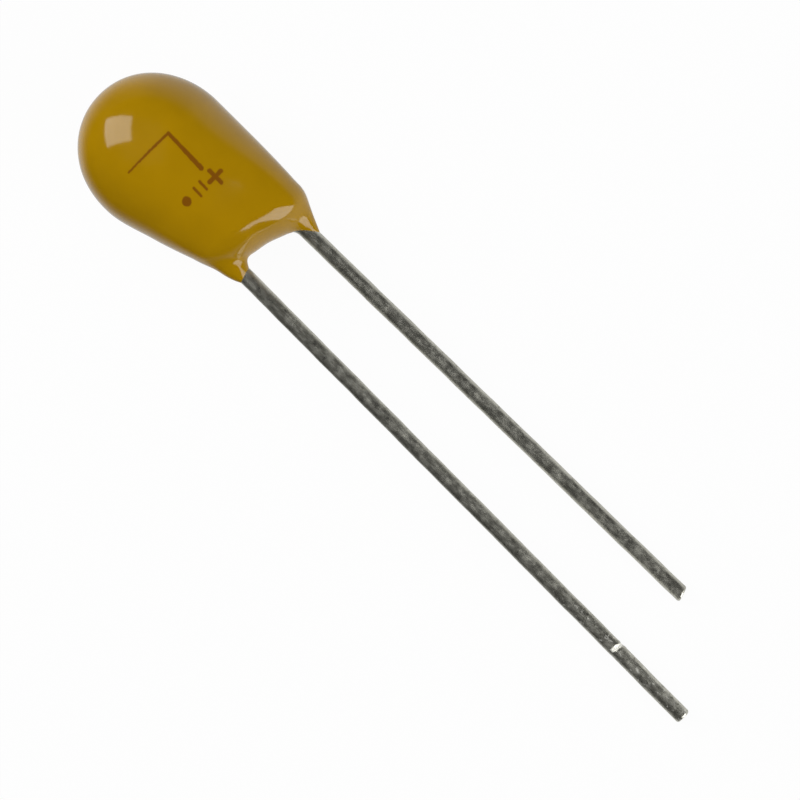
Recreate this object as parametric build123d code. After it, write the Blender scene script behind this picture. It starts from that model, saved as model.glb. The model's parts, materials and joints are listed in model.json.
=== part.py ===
from build123d import *
import os
from math import atan2, cos, degrees, pi, radians, sin, sqrt, tan

# Radial dipped capacitor, in millimetres. It is first drawn lying along X, with the rounded end of
# its resin shell towards -X, its wires towards +X and the positive wire on the +Y side. X = 0 is
# near the place where the wires leave the resin. At the end it is laid down as it rests on a table.

# Wires outside the resin
wire_d = 0.508
lead_pitch = 2.34            # between the wire centres at X = 0
splay_deg = 0.565            # each wire leans outwards by this much
positive_reach = 16.40       # X of each wire's tip
negative_reach = 19.10
positive_shear_deg = 13.0    # slant of the positive wire's cut end
tip_chamfer = 0.05
nick_x = 16.05               # shallow bright nick across the negative wire
nick_width = 0.12
nick_depth = 0.05
nick_turn_deg = 50.0         # its direction round the wire, from +Y towards +Z

# Resin shell
body_d = 4.86
dome_length = 2.70
dome_x = -4.785              # X of the widest section
dome_y = -0.33               # the shell bulges towards the negative wire
dome_sections = 7
mouth_x = 0.45               # the shell is drawn to this X, then trimmed to its edge
mouth_film = 0.085           # resin round the wires at the mouth
mouth_edge = 0.08            # X of the trimmed edge midway between the wires
mouth_slant_deg = 11.0       # the edge reaches further along the positive wire
saddle_x = -0.60             # deepest point of the saddle between the wires
saddle_y = -0.20
saddle_r = 1.60
nose_depth = 0.80            # half an ellipse rounds the saddle from face to face
nose_height = 1.15

# Sections of the shell from dome to mouth: place along the way, then how far the +Y side, the
# -Y side and the thickness have gone from the dome's size to the mouth's, then the squareness
shell_sections = [
    (0.32, 0.02, 0.31, 0.14, 2.1),
    (0.56, 0.07, 0.63, 0.42, 2.3),
    (0.74, 0.14, 0.82, 0.75, 2.6),
    (0.86, 0.52, 1.01, 0.92, 2.9),
]
mouth_squareness = 3.4
section_points = 24

# Slug, riser, washer and the skins over the slug
slug_r = 1.45
slug_y = -0.05
slug_back = -6.05            # X of its closed end
slug_face = -3.05            # X of the face that the riser leaves
slug_bevel = 0.30
manganese_skin = 0.05
graphite_skin = 0.03
silver_skin = 0.05
graphite_setback = 0.25      # each skin stops this far short of the slug's face
silver_setback = 0.40
riser_d = 0.30
riser_depth = 2.00           # of it inside the slug
riser_end = -1.42
washer_r = 0.55
washer_thick = 0.20

# Wires and solder inside the resin
wire_bend_r = 0.60
positive_bend_x = -0.12      # X of each wire's first corner
negative_bend_x = -0.40
lap_start = -1.62            # X where the positive wire comes alongside the riser
lap_end = -2.30
weld_sink = 0.04             # the riser sinks this far into the wire
jog_start = -3.55            # X where the negative wire comes alongside the slug
jog_end = -5.45
solder_gap = 0.07            # between that wire and the silver
solder_wall = 0.10
solder_foot = 0.72           # half width of the solder on the silver
solder_margin = 0.12         # solder past the wire's end

wire_r = wire_d / 2
riser_r = riser_d / 2
graphite_r = slug_r + manganese_skin + graphite_skin
silver_r = graphite_r + silver_skin
lap_y = slug_y + riser_r + wire_r - weld_sink
jog_y = slug_y - silver_r - solder_gap - wire_r
half_spread = tan(radians(splay_deg))


def on_lead(side, x):
    """Point on a wire's straight line: side is +1 for the positive wire and -1 for the other."""
    return Vector(x, side * (lead_pitch / 2 + x * half_spread), 0)


def lead_direction(side):
    return Vector(cos(radians(splay_deg)), side * sin(radians(splay_deg)), 0)


def section(x, y_low, y_high, half_thick, squareness):
    """Closed outline across the shell, an ellipse when the squareness is 2."""
    middle = (y_low + y_high) / 2
    half_wide = (y_high - y_low) / 2
    power = 2 / squareness
    points = []
    for i in range(section_points):
        across = cos(2 * pi * i / section_points)
        up = sin(2 * pi * i / section_points)
        y = middle + half_wide * abs(across) ** power * (1 if across >= 0 else -1)
        z = half_thick * abs(up) ** power * (1 if up >= 0 else -1)
        points.append(Vector(x, y, z))
    return Face(Wire([Edge.make_spline(points, periodic=True)]))


def shell_body():
    """Dome and drawn-down neck of the shell, before its edge is trimmed."""
    dome_r = body_d / 2
    mouth_r = lead_pitch / 2 + wire_r + mouth_film
    mouth_thick = wire_r + mouth_film
    outlines = [Vertex(dome_x - dome_length, dome_y, 0)]
    for i in range(1, dome_sections + 1):
        turn = pi / 2 * i / dome_sections
        r = dome_r * sin(turn)
        outlines.append(section(dome_x - dome_length * cos(turn), dome_y - r, dome_y + r, r, 2))
    for along, plus, minus, thick, squareness in shell_sections:
        x = dome_x + along * (mouth_x - dome_x)
        y_high = (dome_y + dome_r) * (1 - plus) + mouth_r * plus
        y_low = (dome_y - dome_r) * (1 - minus) - mouth_r * minus
        half_thick = dome_r * (1 - thick) + mouth_thick * thick
        outlines.append(section(x, y_low, y_high, half_thick, squareness))
    outlines.append(section(mouth_x, -mouth_r, mouth_r, mouth_thick, mouth_squareness))
    return loft(outlines)


def saddle_cutter():
    """Spool between the wires: round seen from above, and narrow at the middle of its height."""
    flare = saddle_r + nose_depth
    profile = make_face([
        Line((0, -nose_height), (flare, -nose_height)),
        EllipticalCenterArc((flare, 0), nose_depth, nose_height, start_angle=270, arc_size=-180),
        Polyline((flare, nose_height), (0, nose_height), (0, -nose_height)),
    ])
    return Pos(saddle_x + saddle_r, saddle_y, 0) * revolve(Plane.XZ * profile, Axis.Z)


def shell_outside():
    slant = radians(mouth_slant_deg)
    end = Plane(origin=(mouth_edge, 0, 0), z_dir=(cos(slant), -sin(slant), 0))
    return split(shell_body(), end, keep=Keep.BOTTOM) - saddle_cutter()


def along_x(radius, x_from, x_to, y=slug_y):
    return Pos((x_from + x_to) / 2, y, 0) * Rot(0, 90, 0) * Cylinder(radius, abs(x_to - x_from))


def slug_envelope(skin, setback=0.0):
    """The slug's bevelled shape grown by a skin, cut off short of its face by the setback."""
    grown = along_x(slug_r + skin, slug_back - skin, slug_face + skin)
    grown = chamfer(grown.edges().filter_by(GeomType.CIRCLE), slug_bevel + skin * (2 - sqrt(2)))
    if setback:
        grown = split(grown, Plane(origin=(slug_face - setback, 0, 0), z_dir=(1, 0, 0)), keep=Keep.BOTTOM)
    return grown


def riser():
    return along_x(riser_r, slug_face - riser_depth, riser_end)


def washer():
    return along_x(washer_r, slug_face, slug_face + washer_thick) - riser()


def skins():
    """Manganese dioxide, carbon and silver, each lying on the one before."""
    bare = slug_envelope(0)
    manganese = slug_envelope(manganese_skin)
    graphite = slug_envelope(manganese_skin + graphite_skin, graphite_setback)
    silver = slug_envelope(manganese_skin + graphite_skin + silver_skin, silver_setback)
    washer_seat = along_x(washer_r, slug_face, slug_face + washer_thick)
    under_silver = slug_envelope(manganese_skin + graphite_skin)
    return manganese - bare - washer_seat, graphite - manganese, silver - under_silver


def bent_wire(corners):
    """Round wire along straight runs joined by arcs."""
    path = FilletPolyline(*corners, radius=wire_bend_r)
    start = Plane(origin=corners[0], z_dir=corners[1] - corners[0])
    return sweep(start * Circle(wire_r), path=path)


def straight_wire(side, x_from, x_to):
    start = on_lead(side, x_from)
    run = (on_lead(side, x_to) - start).length
    return Solid.make_cylinder(wire_r, run, Plane(origin=start, z_dir=lead_direction(side)))


def embedded_wire(side, bend_x, inner_x, inner_y, end_x):
    """The wire inside the resin: straight, slanting to its new line, and along that to its end."""
    corner = on_lead(side, bend_x)
    inner = Vector(inner_x, inner_y, 0)
    slant = atan2(abs(inner.Y - corner.Y), abs(inner.X - corner.X))
    start_x = bend_x + wire_bend_r * tan(slant / 2) + wire_r / 10
    start = on_lead(side, start_x)
    wire = bent_wire([start, corner, inner, Vector(end_x, inner_y, 0)])
    return wire, start_x


def positive_wire():
    inside, start_x = embedded_wire(1, positive_bend_x, lap_start, lap_y, lap_end)
    blank = straight_wire(1, start_x, positive_reach + wire_d)
    slant = radians(positive_shear_deg)
    cut = Plane(origin=on_lead(1, positive_reach), z_dir=(cos(slant), sin(slant), 0))
    return inside + split(blank, cut, keep=Keep.BOTTOM) - riser()


def negative_wire():
    inside, start_x = embedded_wire(-1, negative_bend_x, jog_start, jog_y, jog_end)
    blank = straight_wire(-1, start_x, negative_reach)
    tip = blank.edges().sort_by(Axis.X)[-1]
    blank = chamfer(tip, tip_chamfer)
    turn = radians(nick_turn_deg)
    outward = Vector(0, cos(turn), sin(turn))
    nick_at = Plane(origin=on_lead(-1, nick_x) + outward * wire_r, x_dir=(1, 0, 0), z_dir=outward)
    nick = nick_at * Box(nick_width, wire_d, 2 * nick_depth)
    return inside + blank - nick


def solder():
    """Solder that wraps the negative wire and spreads on the silver."""
    foot_y = slug_y - sqrt(silver_r ** 2 - solder_foot ** 2) + solder_wall / 2
    wrap_r = wire_r + solder_wall
    web = make_face(Polyline(
        (foot_y, -solder_foot), (foot_y, solder_foot), (jog_y, wrap_r), (jog_y, -wrap_r),
        close=True,
    ))
    length = jog_start - wire_d - jog_end + solder_margin
    flat = web + Pos(jog_y, 0) * Circle(wrap_r)
    end = Plane(origin=(jog_end - solder_margin, 0, 0), x_dir=(0, 1, 0), z_dir=(1, 0, 0))
    block = extrude(end * flat, length)
    return block - slug_envelope(manganese_skin + graphite_skin + silver_skin)


def shell(contents):
    shape = shell_outside()
    for piece in contents:
        shape = shape - piece
    return shape


def laid_down(pieces):
    """Turn the part until its shell and both wire tips touch the table, with the origin beneath it."""
    def turned(piece):
        return piece.rotate(Axis.X, roll).rotate(Axis.Y, pitch)

    def lowest(name):
        return turned(pieces[name]).bounding_box().min.Z

    pitch = roll = 0.0
    reach = (positive_reach + negative_reach) / 2 - dome_x
    step = 1.0
    while step > 1e-4:
        shell_z = lowest("epoxy_coat")
        positive_z = lowest("positive_lead")
        negative_z = lowest("negative_lead")
        lower_by = (positive_z + negative_z) / 2 - shell_z
        roll_by = (negative_z - positive_z) / lead_pitch
        pitch += degrees(atan2(lower_by, reach))
        roll += degrees(roll_by)
        step = abs(lower_by) + abs(roll_by)
    boxes = [turned(piece).bounding_box() for piece in pieces.values()]
    low = [min(getattr(box.min, axis) for box in boxes) for axis in "XYZ"]
    high = [max(getattr(box.max, axis) for box in boxes) for axis in "XYZ"]
    shift = Pos(-(low[0] + high[0]) / 2, -(low[1] + high[1]) / 2, -low[2])
    return {name: shift * turned(piece) for name, piece in pieces.items()}


def main():
    manganese, graphite, silver = skins()
    pieces = {
        "anode_pellet": slug_envelope(0) - riser(),
        "riser_wire": riser(),
        "insulating_washer": washer(),
        "manganese_layer": manganese,
        "graphite_layer": graphite,
        "silver_layer": silver,
        "positive_lead": positive_wire(),
        "negative_lead": negative_wire(),
    }
    pieces["cathode_solder"] = solder() - pieces["negative_lead"]
    pieces["epoxy_coat"] = shell(pieces.values())
    os.makedirs("parts", exist_ok=True)
    for name, piece in laid_down(pieces).items():
        export_step(piece, f"parts/{name}.step")


if __name__ == "__main__":
    main()
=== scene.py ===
import json
import math
import bpy
import numpy as np
from mathutils import Matrix, Vector


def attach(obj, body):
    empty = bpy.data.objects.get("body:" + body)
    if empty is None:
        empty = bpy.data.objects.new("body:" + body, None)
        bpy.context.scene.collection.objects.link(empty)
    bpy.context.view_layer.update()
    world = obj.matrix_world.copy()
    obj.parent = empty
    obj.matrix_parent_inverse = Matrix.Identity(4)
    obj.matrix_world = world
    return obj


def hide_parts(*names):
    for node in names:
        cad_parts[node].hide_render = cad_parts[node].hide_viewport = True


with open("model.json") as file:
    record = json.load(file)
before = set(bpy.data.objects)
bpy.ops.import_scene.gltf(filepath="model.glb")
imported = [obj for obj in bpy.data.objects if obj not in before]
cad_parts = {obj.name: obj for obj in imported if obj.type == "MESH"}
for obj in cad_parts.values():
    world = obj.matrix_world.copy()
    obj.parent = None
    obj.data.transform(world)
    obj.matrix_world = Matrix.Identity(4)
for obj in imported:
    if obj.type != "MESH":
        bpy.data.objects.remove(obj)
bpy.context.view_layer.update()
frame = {"nodes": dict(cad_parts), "record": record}
nodes = frame["nodes"]
print("frame loaded,", len(nodes), "nodes")

# Shapes are drawn in the part's own lying frame, in millimetres: x along the wires towards their
# tips, y towards the positive wire, z out of the marked face. toRest takes them to where it rests.
wires = {
    "radius": 0.254,
    "pitch": 2.34,                        # between the wires at x = 0
    "splay": math.radians(0.565),         # each wire leans outwards by this much
    "bend": 0.60, "bendRings": 16,
    "ringStep": 0.03,
    "sides": 56,
    # x of the tip and of the first bend, the second bend, and x of the hidden end
    "positive": {"tip": 16.40, "corner": -0.12, "inner": (-1.62, 0.314), "end": -2.30},
    "negative": {"tip": 19.10, "corner": -0.40, "inner": (-3.55, -1.954), "end": -5.45},
    "shear": math.radians(13),            # slant of the positive wire's cut end
    "shearRun": 0.8,
    "tipRound": 0.05, "tipPower": 1.5,
    # the negative wire's nick: place, size, turn round the wire and slant, and the burrs beside it
    "nickX": 16.05, "nickWide": 0.055, "nickDeep": 0.045, "nickTurn": math.radians(50),
    "nickSpread": math.radians(52), "nickFade": 0.25, "nickSlant": 0.25, "nickMiddle": -0.1,
    "burr": 0.010, "burrAway": 2.2,
    # shallow dents: waves along x, round the wire, and along x again to break them up
    "dents": 0.004, "broadDents": (2.1, 3, 0.9), "fineDents": (5.3, -2, 1.7), "fineShare": 0.8,
    "dentPhase": 1.7,                     # sets the two wires apart
    "shapedFrom": -0.1, "shapedFull": 0.2,
}


def ownFrame():
    # the two wire mounts give the plane of the wires and the way between them; how far apart they
    # start gives the sum of their two places along x, and the step between them the difference
    mounts = {m["name"]: m for m in frame["record"]["mounts"]}
    ends = [Vector(mounts[n]["pos_m"]) for n in ("positive_lead", "negative_lead")]
    ways = [Vector(mounts[n]["axis"]).normalized() for n in ("positive_lead", "negative_lead")]
    xWay = (ways[0] + ways[1]).normalized()
    across = ends[0] - ends[1]
    yWay = (across - xWay * across.dot(xWay)).normalized()
    zWay = xWay.cross(yWay)
    spread = math.tan(wires["splay"])
    both = (across.dot(yWay) * 1000 - wires["pitch"]) / spread
    x = (both + across.dot(xWay) * 1000) / 2
    y = wires["pitch"] / 2 + x * spread
    return Matrix((xWay, yWay, zWay)).transposed(), ends[0] - (xWay * x + yWay * y) / 1000


turn, origin = ownFrame()
toRest = Matrix.Translation(origin) @ turn.to_4x4() @ Matrix.Diagonal((0.001, 0.001, 0.001, 1))


class Sock:
    # a node's socket that takes arithmetic
    def __init__(self, tree, socket):
        self.tree = tree
        self.socket = socket

    def math(self, operation, *values):
        return self.tree.add("ShaderNodeMath", {"operation": operation}, dict(enumerate(values)))

    def __add__(self, other):
        return self.math("ADD", self, other)

    def __sub__(self, other):
        return self.math("SUBTRACT", self, other)

    def __rsub__(self, other):
        return self.math("SUBTRACT", other, self)

    def __mul__(self, other):
        return self.math("MULTIPLY", self, other)

    def __truediv__(self, other):
        return self.math("DIVIDE", self, other)

    __radd__ = __add__
    __rmul__ = __mul__

    def root(self):
        return self.math("SQRT", self)

    def least(self, other):
        return self.math("MINIMUM", self, other)

    def most(self, other):
        return self.math("MAXIMUM", self, other)

    def fade(self, low, high):
        # smoothly from 0 at low to 1 at high, or down when high is the lesser
        start, end, ends = (low, high, (0, 1)) if low < high else (high, low, (1, 0))
        return self.tree.add("ShaderNodeMapRange", {"interpolation_type": "SMOOTHSTEP"},
                             {0: self, 1: start, 2: end, 3: ends[0], 4: ends[1]})


class Nodes:
    # a node tree being built: add makes any node and gives back one of its outputs
    def __init__(self, tree):
        self.tree = tree
        tree.nodes.clear()

    def add(self, kind, settings=None, values=None, output=0):
        made = self.tree.nodes.new(kind)
        for key, value in (settings or {}).items():
            setattr(made, key, value)
        for key, value in (values or {}).items():
            if isinstance(value, Sock):
                self.tree.links.new(value.socket, made.inputs[key])
            else:
                made.inputs[key].default_value = value
        return Sock(self, made.outputs[output]) if made.outputs else made

    def rays(self):
        # 1 for the camera's rays, and 1 for those that a mirror or glass sends on
        look, mirror, through = (self.add("ShaderNodeLightPath", output=name)
                                 for name in ("Is Camera Ray", "Is Glossy Ray", "Is Transmission Ray"))
        return look, mirror.most(through)


class Finish(Nodes):
    # a material being built
    def __init__(self, name):
        self.material = bpy.data.materials.new(name)
        self.material.use_nodes = True
        super().__init__(self.material.node_tree)

    def place(self):
        # the point in the part's own frame, in millimetres
        back = turn.transposed()
        return self.add("ShaderNodeMapping", {"vector_type": "POINT"}, {
            "Vector": self.add("ShaderNodeTexCoord", output="Object"),
            "Location": tuple(back @ (-origin * 1000)),
            "Rotation": tuple(back.to_euler("XYZ")),
            "Scale": (1000, 1000, 1000),
        })

    def split(self, vector):
        return [self.add("ShaderNodeSeparateXYZ", None, {0: vector}, i) for i in range(3)]

    def stretch(self, vector, scale):
        return self.add("ShaderNodeVectorMath", {"operation": "MULTIPLY"}, {0: vector, 1: scale})

    def noise(self, vector, scale, detail=2.0, rough=0.5):
        return self.add("ShaderNodeTexNoise", None,
                        {"Vector": vector, "Scale": scale, "Detail": detail, "Roughness": rough})

    def blend(self, share, a, b):
        return self.add("ShaderNodeMix", {"data_type": "RGBA"}, {0: share, 6: a, 7: b}, 2)

    def bump(self, height, distance):
        return self.add("ShaderNodeBump", None, {"Height": height, "Distance": distance, "Strength": 1.0})

    def surface(self, **values):
        named = {key.replace("_", " "): value for key, value in values.items()}
        shader = self.add("ShaderNodeBsdfPrincipled", None, named)
        self.add("ShaderNodeOutputMaterial", None, {0: shader})
        return self.material


def colour(red, green, blue):
    return (red, green, blue, 1)


def placeMesh(name, mesh):
    mesh.name = name
    mesh.transform(toRest)
    piece = bpy.data.objects.new(name, mesh)
    bpy.context.scene.collection.objects.link(piece)
    return piece


# Resin coat

coat = {
    "domeX": -4.785, "domeY": -0.33, "domeR": 2.429, "domeLength": 2.69,
    "domeLean": 0.03, "leanRun": 0.5, "domeSquare": 2.05,
    "mouthX": 0.45, "film": 0.085,
    # place along the neck, then the shares of the way from dome to mouth that the +y side, the
    # -y side and the thickness have gone, then the squareness
    "sections": [
        (0.00, 0.00, 0.00, 0.000, 2.0),
        (0.32, 0.01, 0.31, 0.190, 2.1),
        (0.56, 0.06, 0.635, 0.42, 2.3),
        (0.74, 0.18, 0.93, 0.54, 2.3),
        (0.86, 0.66, 1.10, 0.66, 2.5),
        (1.00, 1.10, 1.25, 1.00, 2.8),
    ],
    "saddleX": -0.56, "saddleY": 0.05, "saddleSlope": 0.50, "saddleRound": 0.30,
    "noseDepth": 0.90, "noseWiden": 0.10,
    # the cone of resin round each wire: its edge, how far that leans out, and how it thickens
    "positive": {"edge": 0.10, "skew": 0.30, "slope": 0.50, "most": 0.80},
    "negative": {"edge": -0.29, "skew": 0.08, "slope": 0.58, "most": 0.352},
    "collarLength": 1.5, "pastEdge": 1.5, "join": 0.27, "farthest": 0.9,
    "centre": (-4.0, -0.1, 0.0),
    "columns": 384, "mouthRings": 122, "domeRings": 98, "mouthAngle": math.radians(34),
    "reach": 6.0, "halvings": 34,
    # waves along x, y and z and their phase, and how the swell fades towards the mouth
    "swell": 0.010, "swellWaves": [(3.1, 2.3, 0, 0.4), (0, 2.7, -3.6, 1.9), (2.2, 0, 4.3, 5.0)],
    "swellStart": 1.4, "swellFall": 1.5,
}


def smoothCurve(x, xs, ys):
    # cubic runs through the points that never overshoot them, level at the first
    xs, ys = np.array(xs), np.array(ys)
    step = np.diff(xs)
    rise = np.diff(ys) / step
    slope = np.zeros_like(ys)
    for i in range(1, len(xs) - 1):
        if rise[i - 1] * rise[i] > 0:
            a, b = 2 * step[i] + step[i - 1], step[i] + 2 * step[i - 1]
            slope[i] = (a + b) / (a / rise[i - 1] + b / rise[i])
    slope[-1] = rise[-1]
    i = np.clip(np.searchsorted(xs, x) - 1, 0, len(xs) - 2)
    t = np.clip((x - xs[i]) / step[i], 0, 1)
    return ((2 * t**3 - 3 * t**2 + 1) * ys[i] + (t**3 - 2 * t**2 + t) * step[i] * slope[i]
            + (3 * t**2 - 2 * t**3) * ys[i + 1] + (t**3 - t**2) * step[i] * slope[i + 1])


def joined(a, b, radius):
    # the lesser of two distances with the crease between them rounded
    share = np.clip(0.5 + 0.5 * (b - a) / radius, 0, 1)
    return b * (1 - share) + a * share - radius * share * (1 - share)


def bodyDistance(x, y, z):
    # dome and neck, with the neck's end rounded from face to face; below zero inside
    c = coat
    along = np.clip((x - c["domeX"]) / (c["mouthX"] - c["domeX"]), 0, 1)
    table = np.array(c["sections"])
    plus, minus, thin, square = (smoothCurve(along, table[:, 0], table[:, i]) for i in range(1, 5))
    mouthThick = wires["radius"] + c["film"]
    mouthR = wires["pitch"] / 2 + mouthThick
    yHigh = (c["domeY"] + c["domeR"]) * (1 - plus) + mouthR * plus
    yLow = (c["domeY"] - c["domeR"]) * (1 - minus) - mouthR * minus
    half = c["domeR"] * (1 - thin) + mouthThick * thin
    wide = (yHigh - yLow) / 2
    offSaddle = y - c["saddleY"]
    noseX = c["saddleX"] + c["saddleSlope"] * (offSaddle + np.hypot(offSaddle, c["saddleRound"])) / 2
    depth = c["noseDepth"] + c["noseWiden"] * np.hypot(offSaddle, c["saddleRound"])
    ahead = np.maximum(1 - (noseX - x) / depth, 0)
    up = np.hypot(z / half, ahead)
    neck = (np.abs((y - (yHigh + yLow) / 2) / wide) ** square + up**square) ** (1 / square)
    back = np.clip((c["domeX"] - x) / c["domeLength"], 0, 2)
    middle = c["domeY"] - c["domeLean"] * np.clip(back / c["leanRun"], 0, 1)
    power = c["domeSquare"]
    dome = (back**power + (np.hypot(y - middle, z) / c["domeR"]) ** power) ** (1 / power)
    return np.where(x < c["domeX"], (dome - 1) * c["domeR"], (neck - 1) * np.minimum(half, wide))


def collarDistance(x, y, z, side, collar):
    # the cone of resin that thins out along a wire
    offY = y - side * (wires["pitch"] / 2 + x * math.tan(wires["splay"]))
    away = np.sqrt(offY**2 + z**2)
    outward = side * offY / np.maximum(away, 1e-6)
    left = collar["edge"] + collar["skew"] * outward - x
    thick = collar["most"] * (1 - np.exp(-left * collar["slope"] / collar["most"]))
    film = np.where(left > 0, thick, left * coat["pastEdge"])
    film = film - np.maximum(left - coat["collarLength"], 0)
    return away - wires["radius"] - film


def coatDistance(points):
    x, y, z = points[..., 0], points[..., 1], points[..., 2]
    distance = np.minimum(bodyDistance(x, y, z), coat["farthest"])
    for side, name in ((1, "positive"), (-1, "negative")):
        collar = np.minimum(collarDistance(x, y, z, side, coat[name]), coat["farthest"])
        distance = joined(distance, collar, coat["join"])
    return distance


def coatReach(way, centre):
    # how far the resin goes from the centre along each way, by halving
    near = np.zeros(way.shape[:-1])
    far = np.full(way.shape[:-1], coat["reach"])
    for _ in range(coat["halvings"]):
        middle = (near + far) / 2
        inside = coatDistance(centre + way * middle[..., None]) < 0
        near = np.where(inside, middle, near)
        far = np.where(inside, far, middle)
    return near


def dippedSwell(way):
    # dipped resin is never quite true: a slow inward swell over the dome and neck, none at the mouth
    x, y, z = way[..., 0], way[..., 1], way[..., 2]
    waves = coat["swellWaves"]
    total = sum(np.sin(waveX * x + waveY * y + waveZ * z + phase) for waveX, waveY, waveZ, phase in waves)
    share = total / (2 * len(waves)) + 0.5
    return coat["swell"] * share * np.clip(coat["swellStart"] - coat["swellFall"] * x, 0, 1)


def buildCoat():
    c = coat
    mouth = np.linspace(0, c["mouthAngle"], c["mouthRings"] + 1)[1:]
    dome = np.linspace(c["mouthAngle"], math.pi, c["domeRings"] + 1)[1:-1]
    columns = np.arange(c["columns"]) * 2 * math.pi / c["columns"]
    tilt, spin = np.meshgrid(np.concatenate([mouth, dome]), columns, indexing="ij")
    way = np.stack([np.cos(tilt), np.sin(tilt) * np.cos(spin), np.sin(tilt) * np.sin(spin)], -1)
    poles = np.array([[1.0, 0, 0], [-1.0, 0, 0]])
    rings, n = tilt.shape
    way = np.concatenate([way.reshape(-1, 3), poles])
    centre = np.array(c["centre"])
    points = centre + way * (coatReach(way, centre) - dippedSwell(way))[:, None]
    faces = []
    for i in range(rings - 1):
        for j in range(n):
            k = (j + 1) % n
            faces.append((i * n + j, (i + 1) * n + j, (i + 1) * n + k, i * n + k))
    for j in range(n):
        k = (j + 1) % n
        faces.append((rings * n, j, k))
        faces.append((rings * n + 1, (rings - 1) * n + k, (rings - 1) * n + j))
    mesh = bpy.data.meshes.new("resin_coat")
    mesh.from_pydata(points.tolist(), [], faces)
    mesh.shade_smooth()
    return placeMesh("resin_coat", mesh)


# Marks printed on the coat, in millimetres on the marked face

marks = {
    # a right-angled line that thickens as it goes
    "line": [((-4.95, -1.43), (-4.92, 0.29), 0.030, 0.050), ((-4.92, 0.29), (-3.46, 0.24), 0.055, 0.080)],
    "plus": (-2.99, 0.36), "plusArm": 0.25, "plusHalf": 0.070,
    "bars": [((-3.22, -0.09), (-2.90, -0.10), 0.045, 0.045), ((-3.20, -0.36), (-2.88, -0.37), 0.045, 0.045)],
    "dot": (-3.08, -0.80), "dotR": 0.15, "dotRun": 0.01,
    "soft": 0.045,
    "wobble": 0.05, "wobbleScaleX": 9.0, "wobbleScaleY": 7.0,
    "faceZ": (0.2, 0.5),                  # the marks are on the upper face alone
    "ink": colour(0.165, 0.052, 0.003),
}


def strokeMask(x, y, start, end, halfStart, halfEnd):
    # 1 within a line from start to end, whose half width goes from halfStart to halfEnd
    dx, dy = end[0] - start[0], end[1] - start[1]
    length = math.hypot(dx, dy)
    along = ((x - start[0]) * (dx / length) + (y - start[1]) * (dy / length)) / length
    share = along.most(0).least(1)
    offX = x - (start[0] + share * dx)
    offY = y - (start[1] + share * dy)
    away = (offX * offX + offY * offY).root()
    half = halfStart + share * (halfEnd - halfStart)
    return (away - half).fade(marks["soft"] / 2, -marks["soft"] / 2)


def marksMask(finish, place):
    x, y, z = finish.split(place)
    x = x + (finish.noise(place, marks["wobbleScaleX"], 3.0) - 0.5) * marks["wobble"]
    y = y + (finish.noise(place, marks["wobbleScaleY"], 3.0) - 0.5) * marks["wobble"]
    plusX, plusY = marks["plus"]
    dotX, dotY = marks["dot"]
    arm, half, dotR = marks["plusArm"], marks["plusHalf"], marks["dotR"]
    strokes = marks["line"] + marks["bars"] + [
        ((plusX - arm, plusY), (plusX + arm, plusY), half, half),
        ((plusX, plusY - arm), (plusX, plusY + arm), half, half),
        ((dotX, dotY), (dotX + marks["dotRun"], dotY), dotR, dotR),
    ]
    mask = strokeMask(x, y, *strokes[0])
    for stroke in strokes[1:]:
        mask = mask.most(strokeMask(x, y, *stroke))
    return mask * z.fade(*marks["faceZ"])


resin = {
    "ochre": colour(0.352, 0.193, 0.0008),
    "deep": colour(0.325, 0.177, 0.0006),
    "cloudScale": 0.55, "cloudFade": (0.35, 0.70),
    "grainScale": 14.0, "waveScale": 1.4,
    "inkCover": 0.86, "inkGrain": 0.10,
    "rough": 0.24, "roughGrain": 0.05, "roughInk": 0.12,
    "gloss": 0.11, "glossInk": 0.25,      # the clear skin's roughness, and what the ink takes off it
    "wave": 0.6, "grain": 0.06, "inkStep": 0.03, "depth": 0.00001,
}


def resinFinish():
    f = Finish("dipped_resin")
    r = resin
    place = f.place()
    cloud = f.noise(place, r["cloudScale"], 3.0)
    grain = f.noise(place, r["grainScale"], 3.0, 0.6)
    wave = f.noise(place, r["waveScale"])
    base = f.blend(cloud.fade(*r["cloudFade"]), r["deep"], r["ochre"])
    ink = marksMask(f, place)
    base = f.blend(ink * (r["inkCover"] + r["inkGrain"] * grain), base, marks["ink"])
    rough = r["rough"] + r["roughGrain"] * (grain - 0.5) + r["roughInk"] * ink
    height = r["wave"] * wave + r["grain"] * grain + r["inkStep"] * ink
    return f.surface(Base_Color=base, Roughness=rough, IOR=1.5, Specular_IOR_Level=0.0,
                     Coat_Weight=1.0 - r["glossInk"] * ink, Coat_Roughness=r["gloss"], Coat_IOR=1.45,
                     Normal=f.bump(height, r["depth"]))


# Wires

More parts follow.
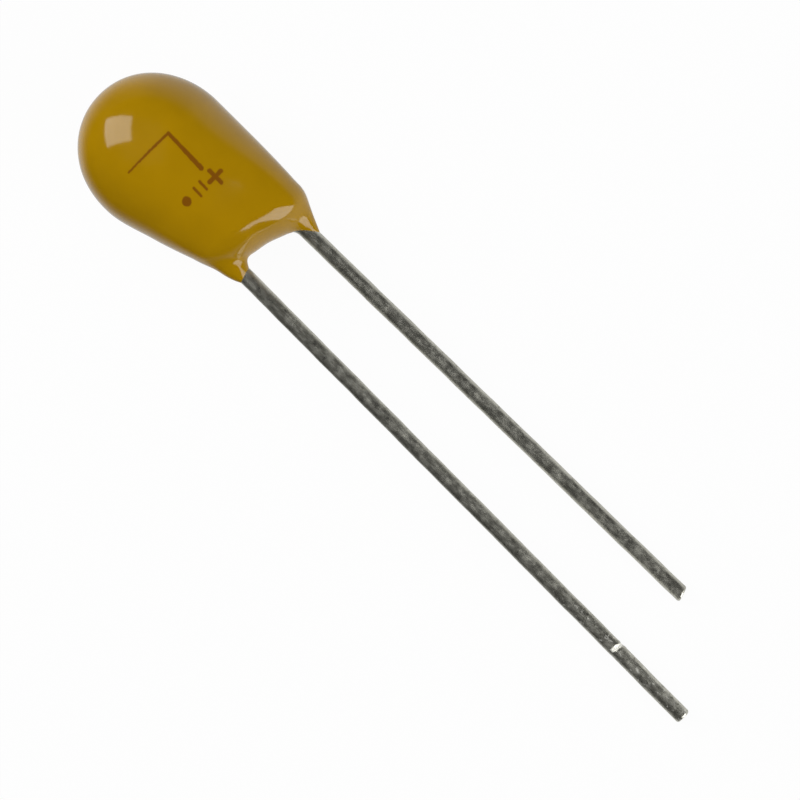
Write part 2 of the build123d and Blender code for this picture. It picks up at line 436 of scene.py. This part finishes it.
def wireTree():
    tree = bpy.data.node_groups.new("tinned_wire_shape", "GeometryNodeTree")
    face = tree.interface
    face.new_socket("Geometry", in_out="INPUT", socket_type="NodeSocketGeometry")
    for name, kind, value in (
        ("Wire radius", "NodeSocketFloat", wires["radius"]),
        ("Bend radius", "NodeSocketFloat", wires["bend"]),
        ("Ring step", "NodeSocketFloat", wires["ringStep"]),
        ("Sides", "NodeSocketInt", wires["sides"]),
        ("Finish", "NodeSocketMaterial", None),
    ):
        socket = face.new_socket(name, in_out="INPUT", socket_type=kind)
        if value is not None:
            socket.default_value = value
    face.new_socket("Geometry", in_out="OUTPUT", socket_type="NodeSocketGeometry")
    g = Nodes(tree)

    def given(name):
        return g.add("NodeGroupInput", output=name)

    rounded = g.add("GeometryNodeFilletCurve", {"mode": "POLY"},
                    {"Curve": given("Geometry"), "Radius": given("Bend radius"), "Count": wires["bendRings"]})
    path = g.add("GeometryNodeResampleCurve", {"mode": "LENGTH"},
                 {"Curve": rounded, "Length": given("Ring step")})
    circle = g.add("GeometryNodeCurvePrimitiveCircle", None,
                   {"Resolution": given("Sides"), "Radius": given("Wire radius")})
    tube = g.add("GeometryNodeCurveToMesh", None, {"Curve": path, "Profile Curve": circle, "Fill Caps": True})
    smooth = g.add("GeometryNodeSetShadeSmooth", None, {"Geometry": tube})
    finished = g.add("GeometryNodeSetMaterial", None, {"Geometry": smooth, "Material": given("Finish")})
    g.add("NodeGroupOutput", None, {0: g.add("GeometryNodeRealizeInstances", None, {0: finished})})
    return tree


def onWire(side, x):
    return (x, side * (wires["pitch"] / 2 + x * math.tan(wires["splay"])), 0)


def wireMesh(tree, name, side, route, finish):
    corners = [onWire(side, route["tip"]), onWire(side, route["corner"]),
               (*route["inner"], 0), (route["end"], route["inner"][1], 0)]
    line = bpy.data.curves.new(name + "_path", "CURVE")
    line.dimensions = "3D"
    spline = line.splines.new("POLY")
    spline.points.add(len(corners) - 1)
    for point, corner in zip(spline.points, corners):
        point.co = (*corner, 1)
    holder = bpy.data.objects.new(name + "_path", line)
    bpy.context.scene.collection.objects.link(holder)
    modifier = holder.modifiers.new("wire", "NODES")
    modifier.node_group = tree
    for item in tree.interface.items_tree:
        if item.in_out == "INPUT" and item.name == "Finish":
            modifier[item.identifier] = finish
    bpy.context.view_layer.update()
    shown = holder.evaluated_get(bpy.context.evaluated_depsgraph_get())
    mesh = bpy.data.meshes.new_from_object(shown)
    holder.modifiers.remove(modifier)
    bpy.data.objects.remove(holder)
    return mesh


def meshPoints(mesh):
    flat = np.zeros(len(mesh.vertices) * 3)
    mesh.vertices.foreach_get("co", flat)
    return flat.reshape(-1, 3)


def shapeWire(mesh, side, route):
    # dents, the nick and the cut end, worked on the straight run
    p = meshPoints(mesh)
    w = wires
    x = p[:, 0].copy()
    offY = p[:, 1] - side * (w["pitch"] / 2 + x * math.tan(w["splay"]))
    around = np.arctan2(p[:, 2], offY)
    straight = np.clip((x - w["shapedFrom"]) / (w["shapedFull"] - w["shapedFrom"]), 0, 1)
    phase = w["dentPhase"] * side
    broadX, broadTurn, broadBreak = w["broadDents"]
    fineX, fineTurn, fineBreak = w["fineDents"]
    broad = np.sin(broadX * x + broadTurn * around + phase) * np.sin(broadBreak * x + phase)
    fine = np.sin(fineX * x + fineTurn * around + 2 * phase) * np.sin(fineBreak * x + around)
    grow = w["dents"] * (broad + w["fineShare"] * fine) - w["dents"]
    if side < 0:
        along = (x - w["nickX"] - w["nickSlant"] * (offY - w["nickMiddle"])) / w["nickWide"]
        turned = np.abs(np.angle(np.exp(1j * (around - w["nickTurn"])))) / w["nickSpread"]
        within = np.clip((1 + w["nickFade"] - turned) / w["nickFade"], 0, 1)
        burrs = np.exp(-(along - w["burrAway"]) ** 2) + np.exp(-(along + w["burrAway"]) ** 2)
        grow = grow + (w["burr"] * burrs - w["nickDeep"] * np.exp(-along**2)) * within
    fromTip = route["tip"] - x
    grow = grow - w["tipRound"] * np.clip(1 - fromTip / w["tipRound"], 0, 1) ** w["tipPower"]
    scale = 1 + straight * grow / w["radius"]
    p[:, 1] += offY * (scale - 1)
    p[:, 2] *= scale
    if side > 0:
        share = np.clip(1 - fromTip / w["shearRun"], 0, 1)
        p[:, 0] -= math.tan(w["shear"]) * offY * share
    mesh.vertices.foreach_set("co", p.ravel())
    for polygon in mesh.polygons:
        polygon.use_smooth = len(polygon.vertices) == 4
    mesh.update()


tin = {
    "pale": colour(0.70, 0.69, 0.605),
    "dull": colour(0.56, 0.55, 0.475),
    "dark": colour(0.20, 0.20, 0.16),
    # bright metal for the worn scuff, and the colour of the nick's painted highlight
    "scuffAndHighlight": colour(0.92, 0.91, 0.83),
    # noises: how a pattern is squeezed along x, y and z, then scale, detail and roughness
    "streak": ((0.30, 8.0, 8.0), 1.0, 4.0, 0.6),
    "mottle": ((1.0, 1.5, 1.5), 2.6, 5.0, 0.65),
    "speck": ((1.0, 1.4, 1.4), 6.5, 3.0, 0.55),
    "mottleFade": (0.40, 0.62),
    "streakShare": 0.45, "streakFade": (0.54, 0.70),
    "speckShare": 0.4, "speckWorn": 0.4, "speckFade": (0.58, 0.66),
    # the longer wire is scuffed towards its tip, on the upper face
    "wornX": (12.5, 15.0), "wornY": (0.0, -0.4), "wornZ": (0.05, 0.18),
    "scuffShare": 0.75, "scuffFade": (0.43, 0.33),
    # the painted highlight in the nick, a pale band: how far outside half the pitch its middle is, how much
    # wider than the nick, and the fades that keep it to the upper side towards the other wire
    "bandOut": 0.25, "bandWiden": 1.3, "bandY": (0.4, -0.3), "bandYZ": (-1.36, -1.18),
    # after the metal share: what the nick's painted highlight and the scuff take off it
    "metallic": 0.93, "highlightLessMetal": 0.85, "scuffBare": 0.30,
    "rough": 0.40, "roughMottle": 0.8, "roughSpeck": 0.5,
    "streakHeight": 0.5, "mottleHeight": 0.5, "speckHeight": 0.35, "depth": 0.000012,
}


def tinFinish():
    f = Finish("tinned_wire")
    t, w = tin, wires
    place = f.place()
    x, y, z = f.split(place)
    streak, mottle, speck = (f.noise(f.stretch(place, squeeze), *rest)
                             for squeeze, *rest in (t["streak"], t["mottle"], t["speck"]))
    worn = x.fade(*t["wornX"]) * y.fade(*t["wornY"]) * z.fade(*t["wornZ"])
    base = f.blend(mottle.fade(*t["mottleFade"]), t["dull"], t["pale"])
    base = f.blend(t["streakShare"] * streak.fade(*t["streakFade"]), base, t["dark"])
    base = f.blend((t["speckShare"] + t["speckWorn"] * worn) * speck.fade(*t["speckFade"]), base, t["dark"])
    scuff = t["scuffShare"] * worn * speck.fade(*t["scuffFade"])
    base = f.blend(scuff, base, t["scuffAndHighlight"])
    # painted highlight: a pale, less metallic band along the nick, kept to the upper side towards the other
    # wire
    slant = w["nickSlant"] * (y + w["pitch"] / 2 + t["bandOut"])
    offBand = (x - w["nickX"] - slant) / (w["nickWide"] * t["bandWiden"])
    paintedNickHighlight = (2 - 2 * offBand * offBand).most(0).least(1) * y.fade(*t["bandY"]) * (y + z).fade(*t["bandYZ"])
    base = f.blend(paintedNickHighlight, base, t["scuffAndHighlight"])
    rough = t["rough"] + t["roughMottle"] * (mottle - 0.5) + t["roughSpeck"] * (speck - 0.5)
    metallic = t["metallic"] - t["highlightLessMetal"] * paintedNickHighlight - t["scuffBare"] * scuff
    height = t["streakHeight"] * streak + t["mottleHeight"] * mottle + t["speckHeight"] * speck
    return f.surface(Base_Color=base, Metallic=metallic, Roughness=rough, Normal=f.bump(height, t["depth"]))


# Finishes of what the resin hides, by node: the scale of the grain, and its depth in metres

hidden = {
    "anode_pellet": {
        "name": "sintered_tantalum", "light": (0.16, 0.16, 0.17), "dark": (0.05, 0.05, 0.055),
        "grain": 26.0, "metallic": 0.8, "rough": 0.62, "depth": 0.00002},
    "riser_wire": {
        "name": "drawn_tantalum", "light": (0.42, 0.42, 0.44), "dark": (0.25, 0.25, 0.27),
        "grain": 18.0, "metallic": 1.0, "rough": 0.34, "depth": 0.000004},
    "insulating_washer": {
        "name": "washer_plastic", "light": (0.82, 0.82, 0.80), "dark": (0.70, 0.70, 0.68),
        "grain": 8.0, "metallic": 0.0, "rough": 0.45, "depth": 0.000004},
    "manganese_layer": {
        "name": "manganese_dioxide", "light": (0.030, 0.026, 0.024), "dark": (0.010, 0.009, 0.008),
        "grain": 30.0, "metallic": 0.0, "rough": 0.80, "depth": 0.00002},
    "graphite_layer": {
        "name": "carbon_coat", "light": (0.045, 0.045, 0.047), "dark": (0.018, 0.018, 0.019),
        "grain": 22.0, "metallic": 0.2, "rough": 0.55, "depth": 0.00001},
    "silver_layer": {
        "name": "silver_paint", "light": (0.72, 0.71, 0.69), "dark": (0.52, 0.51, 0.49),
        "grain": 24.0, "metallic": 0.85, "rough": 0.42, "depth": 0.00001},
    "cathode_solder": {
        "name": "soft_solder", "light": (0.62, 0.62, 0.60), "dark": (0.38, 0.38, 0.37),
        "grain": 5.0, "metallic": 1.0, "rough": 0.34, "depth": 0.00002},
}
grains = {
    "coarser": 8, "fineShare": 0.7, "broadShare": 0.3, "fade": (0.36, 0.64), "rough": 0.2,
}


def granularFinish(name, light, dark, grain, metallic, rough, depth):
    f = Finish(name)
    g = grains
    place = f.place()
    fine = f.noise(place, grain, 4.0, 0.65)
    broad = f.noise(place, grain / g["coarser"])
    share = (g["fineShare"] * fine + g["broadShare"] * broad).fade(*g["fade"])
    return f.surface(Base_Color=f.blend(share, colour(*dark), colour(*light)), Metallic=metallic,
                     Roughness=rough + g["rough"] * (fine - 0.5), Normal=f.bump(fine, depth))


def dressPieces():
    resinCoat = buildCoat()
    resinCoat.data.materials.append(resinFinish())
    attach(resinCoat, "root")
    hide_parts("epoxy_coat")
    print("resin coat made,", len(resinCoat.data.polygons), "faces")
    tree = wireTree()
    finish = tinFinish()
    for side, name in ((1, "positive"), (-1, "negative")):
        mesh = wireMesh(tree, name, side, wires[name], finish)
        shapeWire(mesh, side, wires[name])
        wire = placeMesh(name + "_wire", mesh)
        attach(wire, "root")
        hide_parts(name + "_lead")
        print(name, "wire made,", len(mesh.polygons), "faces")
    for name, look in hidden.items():
        mesh = nodes[name].data
        mesh.materials.clear()
        mesh.materials.append(granularFinish(**look))
    print("hidden pieces finished")


dressPieces()


# Floor, light and camera

studio = {
    "floorSide": 3.0, "floorDrop": 0.00001,
    "floorGrey": colour(0.62, 0.62, 0.62),
    "cameraWhite": 0.96,
    # what reflections show: a glow that grows downwards and towards +y, under a dark ceiling
    "glow": 0.70, "glowLean": 0.31, "glowFrom": 0.05, "glowTo": -0.68,
    "overhead": 0.015, "ambient": 0.20,
    # the stretch of floor under the coat, in the part's own millimetres, and the drop to it
    "coatEnd": -7.4, "coatFade": (1.0, -1.5), "coatHigh": 2.1, "coatLow": -2.8, "clear": 2.4,
    "lampAim": (-3.5, 0.0, 0.0),
}


def floorFinish():
    # pale to the camera with the object's shadow faintly kept; in reflections a painted glow with painted
    # shade, set by how steeply the nearest part of the object looks down to each place: brightest under the
    # coat and towards +y, dark away from it and towards -y
    f = Finish("studio_floor")
    s = studio
    x, y = f.split(f.place())[:2]
    beside = x.fade(*s["coatFade"])
    offY = y - y.least(beside * s["coatHigh"]).most(beside * s["coatLow"])
    offX = (x - s["coatEnd"]).least(0)
    away = (offX * offX + offY * offY + s["clear"] ** 2).root()
    # painted reflection and painted shade: the floor glows in reflections, fading to black away from the coat
    # and towards -y
    glow = s["glow"] * ((-s["clear"] - s["glowLean"] * offY) / away).fade(s["glowFrom"], s["glowTo"])
    look, reflected = f.rays()
    share = (look * s["cameraWhite"]).most(reflected * glow)
    paper = f.add("ShaderNodeBsdfDiffuse", None, {
        "Color": f.blend(reflected, s["floorGrey"], colour(0, 0, 0))})
    lit = f.add("ShaderNodeEmission", None, {"Color": colour(1, 1, 1), "Strength": 1.0})
    both = f.add("ShaderNodeMixShader", None, {0: share, 1: paper, 2: lit})
    f.add("ShaderNodeOutputMaterial", None, {0: both})
    return f.material


def buildFloor():
    half = studio["floorSide"] / 2
    mesh = bpy.data.meshes.new("floor")
    corners = [(-half, -half), (half, -half), (half, half), (-half, half)]
    mesh.from_pydata([(x, y, -studio["floorDrop"]) for x, y in corners], [], [(0, 1, 2, 3)])
    mesh.materials.append(floorFinish())
    floor = bpy.data.objects.new("floor", mesh)
    bpy.context.scene.collection.objects.link(floor)


def buildWorld():
    # white where the camera sees past the floor; in reflections the same glow as on the floor
    world = bpy.data.worlds.new("studio")
    world.use_nodes = True
    w = Nodes(world.node_tree)
    s = studio
    look, reflected = w.rays()
    way = w.add("ShaderNodeTexCoord", output="Generated")
    rise = tuple(turn.col[2] - s["glowLean"] * turn.col[1])
    height = w.add("ShaderNodeVectorMath", {"operation": "DOT_PRODUCT"}, {0: way, 1: rise}, 1)
    seen = s["overhead"] + s["glow"] * height.fade(s["glowFrom"], s["glowTo"])
    strength = look + (1 - look) * (reflected * seen + (1 - reflected) * s["ambient"])
    glow = w.add("ShaderNodeBackground", None, {"Color": colour(1, 1, 1), "Strength": strength})
    w.add("ShaderNodeOutputWorld", None, {0: glow})
    bpy.context.scene.world = world


lamps = {
    # way from the object in its own frame, distance and sides in metres, roll, radiance, and
    # whether it shows in reflections
    "top": {"way": (-0.45, -0.10, 1.0), "away": 0.28, "sides": (0.34, 0.34), "roll": 0.0,
            "level": 1.42, "mirrored": False},
    "window": {"way": (-0.841, -0.265, 0.472), "away": 0.16, "sides": (0.117, 0.102), "roll": 18.0,
               "level": 4.0, "mirrored": True},
    "low": {"way": (0.897, 0.223, 0.382), "away": 0.18, "sides": (0.140, 0.145), "roll": 0.0,
            "level": 4.2, "mirrored": True},
}


def buildLamps():
    aim = toRest @ Vector(studio["lampAim"])
    up = turn @ Vector(photo["up"])
    for name, lamp in lamps.items():
        data = bpy.data.lights.new(name, "AREA")
        data.shape = "RECTANGLE"
        data.size, data.size_y = lamp["sides"]
        data.energy = lamp["level"] * math.pi * data.size * data.size_y
        light = bpy.data.objects.new(name, data)
        back = (turn @ Vector(lamp["way"])).normalized()
        right = up.cross(back).normalized()
        facing = Matrix((right, back.cross(right), back)).transposed().to_4x4()
        facing = facing @ Matrix.Rotation(math.radians(lamp["roll"]), 4, "Z")
        light.matrix_world = Matrix.Translation(aim + back * lamp["away"]) @ facing
        light.visible_glossy = lamp["mirrored"]
        bpy.context.scene.collection.objects.link(light)


photo = {
    "aim": (5.873, -0.538, 0.0),          # own point at the middle of the picture
    "across": 24.92,                      # millimetres across the picture at the wires
    "lens": 200.0, "sensor": 36.0, "near": 0.005, "far": 10,
    "right": (0.7115, 0.7027, 0.0), "up": (-0.7027, 0.7115, 0.0),
}


def buildCamera():
    data = bpy.data.cameras.new("camera")
    data.lens, data.sensor_width, data.sensor_fit = photo["lens"], photo["sensor"], "HORIZONTAL"
    data.clip_start, data.clip_end = photo["near"], photo["far"]
    right, up = (turn @ Vector(photo[n]).normalized() for n in ("right", "up"))
    back = right.cross(up)
    away = photo["across"] / 1000 * photo["lens"] / photo["sensor"]
    camera = bpy.data.objects.new("camera", data)
    facing = Matrix((right, up, back)).transposed().to_4x4()
    camera.matrix_world = Matrix.Translation(toRest @ Vector(photo["aim"]) + back * away) @ facing
    bpy.context.scene.collection.objects.link(camera)
    bpy.context.scene.camera = camera


buildFloor()
buildWorld()
buildLamps()
buildCamera()
bpy.context.scene.view_settings.view_transform = "Standard"
print("floor, light and camera ready")
